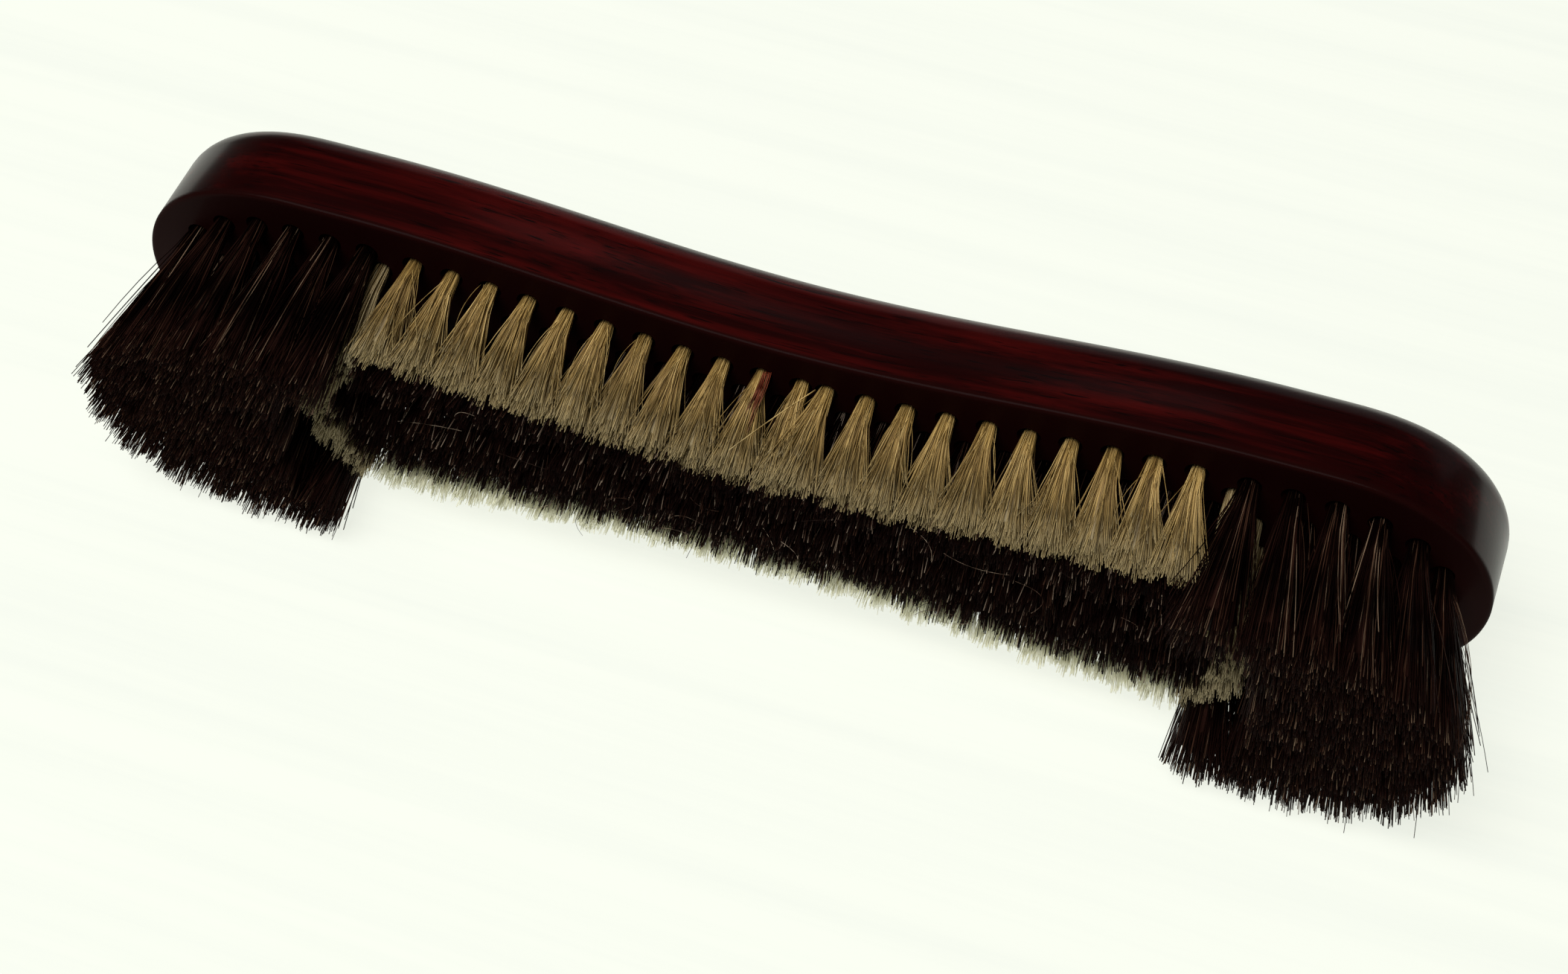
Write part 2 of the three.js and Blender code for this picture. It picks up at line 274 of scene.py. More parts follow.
@dataclass(frozen=True)
class CherryLacquer:
    """Dark cherry stain on a fine straight-grained hardwood, under gloss lacquer."""

    name: str = "cherry_lacquer"
    deep: Colour = (0.0032, 0.0002, 0.0002)
    stain: Colour = (0.0095, 0.0003, 0.0003)
    warm: Colour = (0.048, 0.0018, 0.0015)
    # The bristle face's colour, darker than the stain as painted shade for the face that turns away from the
    # light.
    face_shade: Colour = (0.0065, 0.0007, 0.0006)
    sheen_tint: Colour = (1.0, 0.35, 0.3)
    # How far from the middle of the stock the stain's lift reaches.
    middle_reach: float = 115 * MM
    face_y: float = 8 * MM
    face_start: float = 0.5 * MM
    face_fade: float = 1.2 * MM
    grain_stretch: Stretch = (14.0, 260.0, 260.0)
    figure_stretch: Stretch = (5.0, 42.0, 42.0)
    pore_stretch: Stretch = (60.0, 1500.0, 1500.0)
    grain_share: float = 0.55
    middle_lift: float = 0.11
    tone_drop: float = 0.04
    bare_roughness: float = 0.62
    gloss: float = 0.32
    relief: float = 0.2 * MM
    coat_weight: float = 0.42
    bare_share: float = 0.05
    coat_roughness: float = 0.18

    def material(self) -> bpy.types.Material:
        """Builds the wood's material."""
        graph = ShaderGraph.material(self.name)
        grain = graph.noise(self.grain_stretch, 5.0, 0.6)
        figure = graph.noise(self.figure_stretch, 3.0, 0.5)
        pores = graph.noise(self.pore_stretch, 2.0, 0.5)
        along = graph.node("ShaderNodeSeparateXYZ", {0: graph.place()}, "X")
        # The stain tone is lifted towards the middle of the stock and fades out towards its ends.
        middle_range = {"Value": along * along, "From Max": self.middle_reach**2, "To Min": 1.0, "To Max": 0.0}
        middle_share = graph.node("ShaderNodeMapRange", middle_range)
        blend = grain * self.grain_share + figure * (1 - self.grain_share)
        tone = blend + middle_share * self.middle_lift - self.tone_drop
        stain = graph.ramp(tone, [(0.34, self.deep), (0.5, self.stain), (0.66, self.warm)])
        pore_mask = graph.ramp(pores, [(0.30, WHITE), (0.42, BLACK)])
        place = graph.node("ShaderNodeSeparateXYZ", {0: graph.place()}, "Y")
        low = self.face_y + self.face_start
        above_range = {"Value": place, "From Min": low, "From Max": low + self.face_fade}
        above = graph.node("ShaderNodeMapRange", above_range, interpolation_type="SMOOTHSTEP")
        # Below the mask the bristle face takes its darker colour, painted shade; above it, the stain with its
        # pores.
        colour = graph.mix(above, self.face_shade, graph.mix(pore_mask, stain, self.deep))
        relief = {"Strength": 0.12, "Distance": self.relief, "Height": grain * 0.6 + pores * 0.4}
        bump = graph.node("ShaderNodeBump", relief, "Normal")
        return graph.surface(
            {
                "Base Color": colour,
                "Roughness": self.bare_roughness - above * self.gloss + 0.18 * figure,
                "Normal": bump,
                "Specular IOR Level": 0.06,
                "Specular Tint": self.sheen_tint,
                "Coat Weight": self.coat_weight * (self.bare_share + (1 - self.bare_share) * above),
                "Coat Roughness": self.coat_roughness,
            }
        )


@dataclass(frozen=True)
class HairFinish:
    """Natural hair, with a tone of its own for each strand and a change from root to cut tip."""

    name: str
    tones: tuple[tuple[float, Colour], ...]
    tip: Colour
    tip_share: float
    roughness: float = 0.5
    specular: float = 0.2
    sheen_tint: Colour = WHITE
    streak_stretch: Stretch = (900.0, 120.0, 900.0)
    streak_share: float = 0.16

    def material(self) -> bpy.types.Material:
        """Builds the hair's material, which reads the strands' own map: tone across, length up."""
        graph = ShaderGraph.material(self.name)
        strand = graph.node("ShaderNodeUVMap", uv_map=HairMesh.MAP)
        tone = graph.node("ShaderNodeSeparateXYZ", {0: strand}, "X")
        length = graph.node("ShaderNodeSeparateXYZ", {0: strand}, "Y")
        streak = graph.noise(self.streak_stretch, 2.0)
        body = graph.ramp(tone + streak * self.streak_share - self.streak_share / 2, self.tones)
        cut = (length**3) * self.tip_share
        colour = graph.mix(cut, body, self.tip)
        return graph.surface(
            {
                "Base Color": colour,
                "Roughness": self.roughness + streak * 0.15,
                "Specular IOR Level": self.specular,
                "Specular Tint": self.sheen_tint,
            }
        )


DARK_SHEEN = (0.95, 0.36, 0.26)
HAIR_FINISHES = {
    Hair.CREAM: HairFinish(
        name="cream_hair_strands",
        tones=(
            (0.0, (0.12, 0.066, 0.016)),
            (0.25, (0.26, 0.16, 0.044)),
            (0.7, (0.385, 0.25, 0.076)),
            (1.0, (0.62, 0.44, 0.17)),
        ),
        tip=(0.29, 0.24, 0.128),
        tip_share=0.7,
        roughness=0.45,
        specular=0.25,
    ),
    # A greyer, duller copy of the cream hair for the arcs, as painted shade for their tips that sit between
    # the long end tufts; its tip colour is lightened as painted light to lift them back out.
    Hair.PAINTED_SHADE_AND_LIGHT: HairFinish(
        name="painted_shade_and_light_cream_hair_strands",
        tones=(
            (0.0, (0.12, 0.076, 0.03)),
            (0.5, (0.31, 0.225, 0.098)),
            (1.0, (0.52, 0.42, 0.235)),
        ),
        tip=(0.37, 0.31, 0.175),
        tip_share=1.0,
    ),
    # A lighter copy of the cream hair for the far row, which sits in shade under the brush; it runs to
    # near-white tips as painted light.
    Hair.PAINTED_LIGHT: HairFinish(
        name="painted_light_cream_hair_strands",
        tones=(
            (0.0, (0.34, 0.26, 0.13)),
            (0.5, (0.62, 0.54, 0.33)),
            (1.0, (0.88, 0.84, 0.62)),
        ),
        tip=(0.92, 0.92, 0.72),
        tip_share=0.9,
    ),
    Hair.STAINED: HairFinish(
        name="stained_hair_strands",
        tones=(
            (0.0, (0.05, 0.006, 0.003)),
            (0.6, (0.17, 0.028, 0.012)),
            (1.0, (0.32, 0.1, 0.05)),
        ),
        tip=(0.24, 0.15, 0.075),
        tip_share=0.9,
        specular=0.1,
    ),
    # The few light strands at the top of the ramp are partly the hair's own mixed tone and partly painted
    # highlight, for glints on the cut ends of the dark field.
    Hair.DARK: HairFinish(
        name="dark_hair_strands",
        tones=(
            (0.0, (0.0005, 0.0002, 0.0002)),
            (0.70, (0.0014, 0.0005, 0.0004)),
            (0.87, (0.0065, 0.0022, 0.0015)),
            (0.935, (0.06, 0.028, 0.0165)),
            (1.0, (0.34, 0.26, 0.19)),
        ),
        tip=(0.003, 0.001, 0.0008),
        tip_share=0.25,
        roughness=0.42,
        specular=0.06,
        sheen_tint=DARK_SHEEN,
    ),
    # The light strands at the top of the ramp are partly the hair's own mixed tone and partly painted
    # highlight, for the long glints down the end tufts.
    Hair.LONG: HairFinish(
        name="long_dark_hair_strands",
        tones=(
            (0.0, (0.0009, 0.0004, 0.0003)),
            (0.70, (0.0026, 0.0009, 0.0007)),
            (0.84, (0.014, 0.0046, 0.003)),
            (0.94, (0.06, 0.029, 0.0165)),
            (1.0, (0.22, 0.15, 0.095)),
        ),
        tip=(0.005, 0.0018, 0.0014),
        tip_share=0.3,
        roughness=0.40,
        specular=0.08,
        sheen_tint=DARK_SHEEN,
    ),
}


@dataclass(frozen=True)
class FlatWire:
    """Dull drawn steel wire."""

    name: str = "flat_wire"
    bright: Colour = (0.52, 0.5, 0.46)
    dull: Colour = (0.3, 0.28, 0.25)

    def material(self) -> bpy.types.Material:
        """Builds the wire's material."""
        graph = ShaderGraph.material(self.name)
        drawn = graph.noise((400.0, 4000.0, 4000.0), 2.0)
        colour = graph.mix(drawn, self.bright, self.dull)
        return graph.surface({"Base Color": colour, "Metallic": 1.0, "Roughness": 0.25 + 0.3 * drawn})


@dataclass(frozen=True)
class PaintedBoard:
    """White paint on a board that glows evenly, with faint marks of the paint brush."""

    name: str = "painted_board"
    white: Colour = BOARD_WHITE
    shade: Colour = (0.915, 0.95, 0.86)
    glow: float = 0.84
    painted: float = 0.17

    def material(self) -> bpy.types.Material:
        """Builds the board's material."""
        graph = ShaderGraph.material(self.name)
        strokes = graph.noise((2.5, 90.0, 90.0), 5.0, 0.65)
        mask = graph.ramp(strokes, [(0.42, BLACK), (0.66, WHITE)])
        colour = graph.mix(mask, self.white, self.shade)
        dim = tuple(part * self.painted for part in self.white)
        return graph.surface(
            {
                "Base Color": dim,
                "Roughness": 0.9,
                "Specular IOR Level": 0.0,
                "Emission Color": colour,
                "Emission Strength": self.glow,
            }
        )


# ---------- pieces and the frame


def finish_piece(piece: bpy.types.Object, nodes: Iterable[str]) -> None:
    """Ties a new piece to the frame.

    Args:
        piece: The piece, which stands at the origin.
        nodes: The CAD nodes that it stands for.
    """
    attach(piece, BODY)
    names = list(nodes)
    if names:
        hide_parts(*names)
    LOG.info("%s: %d faces", piece.name, len(piece.data.polygons))


def new_mesh(name: str, shape: bmesh.types.BMesh) -> bpy.types.Mesh:
    """Writes a shape into a new mesh and frees it."""
    mesh = bpy.data.meshes.new(name)
    shape.to_mesh(mesh)
    shape.free()
    return mesh


def dress(mesh: bpy.types.Mesh, material: bpy.types.Material) -> None:
    """Gives a mesh one material and no other."""
    mesh.materials.clear()
    mesh.materials.append(material)


def link_mesh(name: str, mesh: bpy.types.Mesh, material: bpy.types.Material) -> bpy.types.Object:
    """Makes an object at the origin from a mesh and a material."""
    piece = bpy.data.objects.new(name, mesh)
    bpy.context.scene.collection.objects.link(piece)
    dress(mesh, material)
    return piece


class Frame:
    """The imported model, as places and sizes."""

    def __init__(self) -> None:
        """Loads the frame and keeps the model's box."""
        self.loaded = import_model()
        self.low, self.high = (Vector(corner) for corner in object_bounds())
        self.stock_low, self.stock_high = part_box("stock")
        self.face_y = self.stock_low.y
        self.middle_z = (self.stock_low.z + self.stock_high.z) / 2

    @property
    def centre(self) -> Vector:
        """The middle of the model's box."""
        return (self.low + self.high) / 2

    def length_below_face(self, node: str) -> float:
        """How far a node's tips stand out from the bristle face."""
        return self.face_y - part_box(node)[0].y

    def root_places(self, node: str) -> list[Vector]:
        """Where a node's tufts are rooted, from the flat bottoms of the tufts in their holes.

        Args:
            node: A CAD node of one or more tufts.

        Returns:
            One place on the bristle face for each tuft.
        """
        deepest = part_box(node)[1].y
        shape = bmesh.new()
        shape.from_mesh(self.loaded["nodes"][node].data)
        bmesh.ops.remove_doubles(shape, verts=shape.verts, dist=0.005 * MM)
        inside = [vert for vert in shape.verts if vert.co.y < deepest - 0.01 * MM]
        bmesh.ops.delete(shape, geom=inside, context="VERTS")
        places = []
        waiting = dict.fromkeys(shape.verts)
        while waiting:
            island = self._island(waiting.popitem()[0], waiting)
            centre = sum((vert.co for vert in island), Vector()) / len(island)
            places.append(Vector((centre.x, self.face_y, centre.z)))
        shape.free()
        return sorted(places, key=lambda place: (round(place.x, 6), round(place.z, 6)))

    @staticmethod
    def _island(
        start: bmesh.types.BMVert, waiting: dict[bmesh.types.BMVert, None]
    ) -> list[bmesh.types.BMVert]:
        """Takes every vertex joined to the first out of those waiting, in the same order each run."""
        island, edge_of_search = [start], [start]
        while edge_of_search:
            vert = edge_of_search.pop()
            for edge in vert.link_edges:
                other = edge.other_vert(vert)
                if other in waiting:
                    del waiting[other]
                    island.append(other)
                    edge_of_search.append(other)
        return island


# ---------- the stock


@dataclass
class Stock:
    """The waisted wooden stock, with its rounded back and its drilled bristle face."""

    frame: Frame
    waist_width: float = 41 * MM
    swell_place: float = 95 * MM
    side_land: float = 10 * MM
    end_fullness: float = 2.4
    back_round: float = 7 * MM
    face_round: float = 0.8 * MM
    hole_radius: float = 2.1 * MM
    hole_depth: float = 12.5 * MM
    mouth_flare: float = 0.25 * MM
    mouth_length: float = 0.4 * MM
    flat_inset: float = 0.5 * MM
    hole_sides: int = 16
    back_segments: int = 10
    face_segments: int = 3
    end_steps: int = 30
    waist_steps: int = 26

    def __post_init__(self) -> None:
        """Works out where the widest part starts and ends, and how far the round end reaches."""
        self.land_start = self.swell_place - self.side_land / 2
        self.land_end = self.swell_place + self.side_land / 2
        self.reach = self.frame.stock_high.x - self.land_end

    def half_width(self, x: float) -> float:
        """Half of the stock's width at a place along it."""
        widest = self.frame.stock_high.z - self.frame.middle_z
        away = abs(x)
        if away < self.land_start:
            rise = (1 - math.cos(math.pi * away / self.land_start)) / 2
            return self.waist_width / 2 + (widest - self.waist_width / 2) * rise
        along = min(max((away - self.land_end) / self.reach, 0.0), 1.0)
        return widest * math.sqrt(1 - along**self.end_fullness)

    def places(self) -> list[float]:
        """Places along the +X half of the stock, from its middle to just short of its tip."""
        waist = [self.land_start * step / self.waist_steps for step in range(self.waist_steps + 1)]
        turns = [math.pi / 2 * step / self.end_steps for step in range(self.end_steps)]
        end = [self.reach * math.sin(turn) ** (2 / self.end_fullness) for turn in turns]
        return waist + [self.land_end + along for along in end]

    def blank(self) -> bmesh.types.BMesh:
        """The stock before drilling: its outline, extruded to the back, with both edges rounded."""
        shape = bmesh.new()
        half = self.places()
        along = [-x for x in reversed(half[1:])] + half
        tip = self.frame.stock_high.x
        near = [(x, self.half_width(x)) for x in along]
        loop = [(-tip, 0.0), *near, (tip, 0.0), *((x, -z) for x, z in reversed(near))]
        corners = [shape.verts.new((x, self.frame.face_y, self.frame.middle_z + z)) for x, z in loop]
        face = shape.faces.new(corners)
        thick = self.frame.stock_high.y - self.frame.face_y
        grown = bmesh.ops.extrude_face_region(shape, geom=[face])["geom"]
        lifted = [item for item in grown if isinstance(item, bmesh.types.BMVert)]
        bmesh.ops.translate(shape, verts=lifted, vec=(0, thick, 0))
        bmesh.ops.recalc_face_normals(shape, faces=shape.faces)
        self._round_edge(shape, self.frame.stock_high.y, self.back_round, self.back_segments)
        self._round_edge(shape, self.frame.face_y, self.face_round, self.face_segments)
        flats = [face for face in shape.faces if abs(face.normal.y) > NEARLY_FLAT and len(face.verts) > 8]
        bmesh.ops.inset_individual(shape, faces=flats, thickness=self.flat_inset)
        return shape

    @staticmethod
    def _round_edge(shape: bmesh.types.BMesh, y: float, radius: float, segments: int) -> None:
        """Rounds the loop of edges that lies at one distance along Y."""
        edges = [edge for edge in shape.edges if all(abs(vert.co.y - y) < SAME_PLACE for vert in edge.verts)]
        bmesh.ops.bevel(
            shape,
            geom=edges,
            affect="EDGES",
            offset=radius,
            offset_type="OFFSET",
            segments=segments,
            profile=0.5,
            material=-1,
            clamp_overlap=True,
        )

    def drills(self, roots: Sequence[Vector], lacquer: bpy.types.Material) -> bpy.types.Object:
        """The shape that all the holes take away, each with a lightly flared mouth."""
        shape = bmesh.new()
        turned = Matrix.Rotation(math.pi / 2, 4, "X")
        for root in roots:
            hole = Matrix.Translation(root + Vector((0, self.hole_depth / 2, 0))) @ turned
            bmesh.ops.create_cone(
                shape,
                cap_ends=True,
                segments=self.hole_sides,
                radius1=self.hole_radius,
                radius2=self.hole_radius + self.mouth_flare,
                depth=self.hole_depth + self.mouth_length,
                matrix=hole,
            )
        return link_mesh("drills", new_mesh("drills", shape), lacquer)

    def build(self, roots: Sequence[Vector]) -> None:
        """Makes the drilled stock.

        Args:
            roots: Where the tufts are rooted.
        """
        mesh = new_mesh("lacquered_stock", self.blank())
        lacquer = CherryLacquer(face_y=self.frame.face_y).material()
        piece = link_mesh("lacquered_stock", mesh, lacquer)
        drills = self.drills(roots, lacquer)
        cut = piece.modifiers.new("holes", "BOOLEAN")
        cut.operation = "DIFFERENCE"
        cut.solver = "EXACT"
        cut.object = drills
        view = bpy.context.evaluated_depsgraph_get()
        drilled = bpy.data.meshes.new_from_object(piece.evaluated_get(view))
        piece.modifiers.clear()
        piece.data = drilled
        bpy.data.objects.remove(drills)
        self._soften(drilled)
        dress(drilled, lacquer)
        finish_piece(piece, ["stock"])

    @staticmethod
    def _soften(mesh: bpy.types.Mesh) -> None:
        """Shades the mesh smooth but for its sharp edges."""
        shape = bmesh.new()
        shape.from_mesh(mesh)
        for face in shape.faces:
            face.smooth = True
        for edge in shape.edges:
            edge.smooth = edge.calc_face_angle(0.0) < SHARP_ANGLE
        shape.to_mesh(mesh)
        shape.free()


# ---------- hair


class StrandShape:
    """A closed straight prism, made once and then bent into every strand."""

    def __init__(self, sides: int, segments: int) -> None:
        """Extrudes a capped circle, segment by segment.

        Args:
            sides: Flat sides round the strand.
            segments: Segments along it.
        """
        shape = bmesh.new()
        bmesh.ops.create_circle(shape, cap_ends=True, segments=sides, radius=1.0)
        top = shape.faces[:]
        for _ in range(segments):
            grown = bmesh.ops.extrude_face_region(shape, geom=top)["geom"]
            lifted = [item for item in grown if isinstance(item, bmesh.types.BMVert)]
            top = [item for item in grown if isinstance(item, bmesh.types.BMFace)]
            bmesh.ops.translate(shape, verts=lifted, vec=(0, 0, 1))
        bmesh.ops.recalc_face_normals(shape, faces=shape.faces)
        shape.verts.index_update()
        self.segments = segments
        self.ring = np.array([round(vert.co.z) for vert in shape.verts])
        self.corner = np.array([(vert.co.x, vert.co.y) for vert in shape.verts])
        self.sizes = np.array([len(face.verts) for face in shape.faces])
        self.loops = np.array([vert.index for face in shape.faces for vert in face.verts])
        shape.free()


class HairMesh:
    """Strands gathered into one mesh, with a map that says which strand and how far along it."""

    MAP = "strand"
    BOARD_GAP = 0.25 * MM

    def __init__(self) -> None:
        """Starts with no strands."""
        self.points: list[np.ndarray] = []
        self.loops: list[np.ndarray] = []
        self.sizes: list[np.ndarray] = []
        self.maps: list[np.ndarray] = []
        self.count = 0

    def add(
        self, shape: StrandShape, line: np.ndarray, wide: np.ndarray, deep: np.ndarray, tone: np.ndarray
    ) -> None:
        """Adds strands that run from the bristle face towards -Y.

        Args:
            shape: The prism to bend.
            line: Points along each strand, as strand by ring by 3.
            wide: Half width along X at each ring.
            deep: Half width along Z at each ring.
            tone: Each strand's tone, from 0 to 1.
        """
        strands = len(line)
        points = line[:, shape.ring, :].copy()
        points[:, :, 2] = np.maximum(points[:, :, 2], self.BOARD_GAP)
        points[:, :, 0] += wide[:, shape.ring] * shape.corner[:, 0]
        points[:, :, 2] += deep[:, shape.ring] * shape.corner[:, 1]
        starts = self.count + np.arange(strands)[:, None] * len(shape.ring)
        self.points.append(points.reshape(-1, 3))
        self.loops.append((starts + shape.loops[None, :]).ravel())
        self.sizes.append(np.tile(shape.sizes, strands))
        along = shape.ring[shape.loops] / shape.segments
        both = np.stack([np.repeat(tone, len(along)), np.tile(along, strands)], axis=1)
        self.maps.append(both)
        self.count += strands * len(shape.ring)

    def to_mesh(self, name: str) -> bpy.types.Mesh:
        """Writes the strands into a new mesh."""
        points = np.concatenate(self.points)
        loops = np.concatenate(self.loops)
        sizes = np.concatenate(self.sizes)
        mesh = bpy.data.meshes.new(name)
        mesh.vertices.add(len(points))
        mesh.loops.add(len(loops))
        mesh.polygons.add(len(sizes))
        mesh.vertices.foreach_set("co", points.ravel())
        mesh.loops.foreach_set("vertex_index", loops)
        mesh.polygons.foreach_set("loop_start", np.concatenate([[0], np.cumsum(sizes)[:-1]]))
        mesh.polygons.foreach_set("use_smooth", np.ones(len(sizes), bool))
        mesh.update(calc_edges=True)
        layer = mesh.uv_layers.new(name=self.MAP)
        layer.data.foreach_set("uv", np.concatenate(self.maps).ravel())
        return mesh


@dataclass
class Tuft:
    """One tuft: where it is rooted, where its tips are, and how far they spread."""

    root: Vector
    tip: Vector
    along: Vector
    half_along: float
    half_across: float


@dataclass
class TuftStyle:
    """How the strands of a kind of tuft lie.

    Strands gather into a few locks, whose tips draw together and stand a little proud or short.
    """

    strands: int
    strand_radius: float = 0.12 * MM
    root_radius: float = 1.42 * MM
    root_depth: float = 2.5 * MM
    bow: float = 0.35 * MM
    uneven: float = 0.5 * MM
    wander: float = 0.10
    fan_power: float = 1.3
    short_share: float = 0.15
    short_most: float = 5.0 * MM
    locks: int = 9
    lock_pull: float = 0.45
    lock_uneven: float = 0.5 * MM
    core_share: float = 0.6
    core_length: float = 0.82
    core_root: float = 0.8
    core_fan: float = 1.4
    # The heart's tone, low on the ramp: painted shade for the inside of the tuft.
    core_shade_tone: float = 0.1
    thickness: tuple[float, float] = (0.75, 1.25)
    taper: float = 0.7
    bow_reach: float = 0.85
    segments: int = 4


STYLES = {
    Hair.CREAM: TuftStyle(
        strands=350,
        root_radius=1.2 * MM,
        uneven=1.1 * MM,
        wander=0.24,
        short_share=0.34,
        short_most=6.5 * MM,
        locks=12,
        lock_pull=0.38,
        lock_uneven=0.6 * MM,
    ),
    Hair.PAINTED_SHADE_AND_LIGHT: TuftStyle(strands=300, uneven=0.4 * MM, lock_uneven=0.3 * MM),
    Hair.PAINTED_LIGHT: TuftStyle(
        strands=240,
        strand_radius=0.11 * MM,
        uneven=1.3 * MM,
        wander=0.2,
        locks=14,
        lock_uneven=1.0 * MM,
        lock_pull=0.5,
    ),
    Hair.DARK: TuftStyle(
        strands=240,
        uneven=0.7 * MM,
        segments=3,
        wander=0.34,
        lock_uneven=0.6 * MM,
        short_share=0.25,
        core_share=0.78,
    ),
    Hair.LONG: TuftStyle(
        strands=350,
        strand_radius=0.13 * MM,
        uneven=0.7 * MM,
        bow=0.5 * MM,
        fan_power=1.05,
        segments=5,
        wander=0.2,
        locks=14,
        lock_pull=0.2,
        lock_uneven=0.4 * MM,
        short_share=0.2,
        short_most=9 * MM,
        core_share=0.72,
    ),
}


@dataclass
class HairSetter:
    """Fills tufts with strands."""

    seed: int = 7

    def __post_init__(self) -> None:
        """Makes the hair finishes once, and seeds the random draws."""
        self.finishes = {hair: finish.material() for hair, finish in HAIR_FINISHES.items()}
        self.random = np.random.default_rng(self.seed)

    def fill(self, mesh: HairMesh, tuft: Tuft, style: TuftStyle) -> None:
        """Adds one tuft's core and strands to a mesh.

        Args:
            mesh: The mesh that takes them.
            tuft: The tuft's place and spread.
            style: How its strands lie.
        """
        self._core(mesh, tuft, style)
        shape = StrandShape(3, style.segments)
        count = style.strands
        random = self.random
        disc = self._disc(count, 0, 1)
        spread, drop = self._locks(disc + random.normal(0, style.wander, (count, 2)), style)
        start = np.array(tuft.root) + self._across(tuft, disc * style.root_radius)
        end = np.array(tuft.tip) + self._across(tuft, spread * (tuft.half_along, tuft.half_across))
        end[:, 1] += drop + np.abs(random.normal(0, style.uneven, count))
        short = random.uniform(0, 1, count) < style.short_share
        end[:, 1] += short * random.uniform(0.1, 1.0, count) * style.short_most
        steps = np.linspace(0, 1, style.segments + 1)[None, :, None]
        line = start[:, None, :] + (end - start)[:, None, :] * steps
        fan = (end - start)[:, None, :] * (steps**style.fan_power - steps)
        fan[:, :, 1] = 0
        bow = random.normal(0, style.bow, (count, 1, 3)) * np.sin(math.pi * steps * style.bow_reach)
        bow[:, :, 1] = 0
        line += fan + bow
        line[:, 0, 1] += style.root_depth
        thick = style.strand_radius * random.uniform(*style.thickness, (count, 1))
        taper = thick * np.linspace(1.0, style.taper, style.segments + 1)[None, :]
        mesh.add(shape, line, taper, taper, random.uniform(0, 1, count))

    def _disc(self, count: int, low: float, high: float) -> np.ndarray:
        """Even random places in a disc, between two squared radii."""
        turn = self.random.uniform(0, 2 * math.pi, count)
        radius = np.sqrt(self.random.uniform(low, high, count))
        return np.stack([radius * np.cos(turn), radius * np.sin(turn)], axis=1)

    def _locks(self, disc: np.ndarray, style: TuftStyle) -> tuple[np.ndarray, np.ndarray]:
        """Draws tips together into locks.

        Args:
            disc: Tips' places in a unit disc.
            style: How the strands lie.

        Returns:
            The drawn places, and how far back each tip stands.
        """
        centres = self._disc(style.locks, 0.05, 1.05)
        away = np.linalg.norm(disc[:, None, :] - centres[None, :, :], axis=2)
        own = away.argmin(axis=1)
        pull = style.lock_pull * self.random.uniform(0.2, 1.0, (len(disc), 1))
        drop = np.abs(self.random.normal(0, style.lock_uneven, style.locks))[own]
        return disc + (centres[own] - disc) * pull, drop + away.min(axis=1) * style.lock_uneven

    def _core(self, mesh: HairMesh, tuft: Tuft, style: TuftStyle) -> None:
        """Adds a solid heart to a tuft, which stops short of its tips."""
        shape = StrandShape(8, 3)
        steps = np.linspace(0, 1, 4)
        start, end = np.array(tuft.root), np.array(tuft.tip)
        line = (start + (end - start) * (steps * style.core_length)[:, None])[None, :, :]
        line[:, 0, 1] += style.root_depth
        along_x = abs(tuft.along.x)
        tip_x = (tuft.half_along * along_x + tuft.half_across * (1 - along_x)) * style.core_share
        tip_z = (tuft.half_across * along_x + tuft.half_along * (1 - along_x)) * style.core_share
        root = style.root_radius * style.core_root
        wide = (root + (tip_x - root) * steps**style.core_fan)[None, :]
        deep = (root + (tip_z - root) * steps**style.core_fan)[None, :]
        # The heart takes a dark tone from the low end of the ramp, painted shade for the inside of the tuft.
        mesh.add(shape, line, wide, deep, np.array([style.core_shade_tone]))

    @staticmethod
    def _across(tuft: Tuft, places: np.ndarray) -> np.ndarray:
        """Places along and across a tuft's row, turned to face along the row."""
        x = places[:, 0] * tuft.along.x - places[:, 1] * tuft.along.z
        z = places[:, 0] * tuft.along.z + places[:, 1] * tuft.along.x
        return np.stack([x, np.zeros_like(x), z], axis=1)

    def piece(self, name: str, tufts: Sequence[Tuft], hair: Hair, nodes: Iterable[str]) -> None:
        """Makes one piece of hair from its tufts."""
        mesh = HairMesh()
        for tuft in tufts:
            self.fill(mesh, tuft, STYLES[hair])
        piece = link_mesh(name, mesh.to_mesh(name), self.finishes[hair])
        finish_piece(piece, nodes)


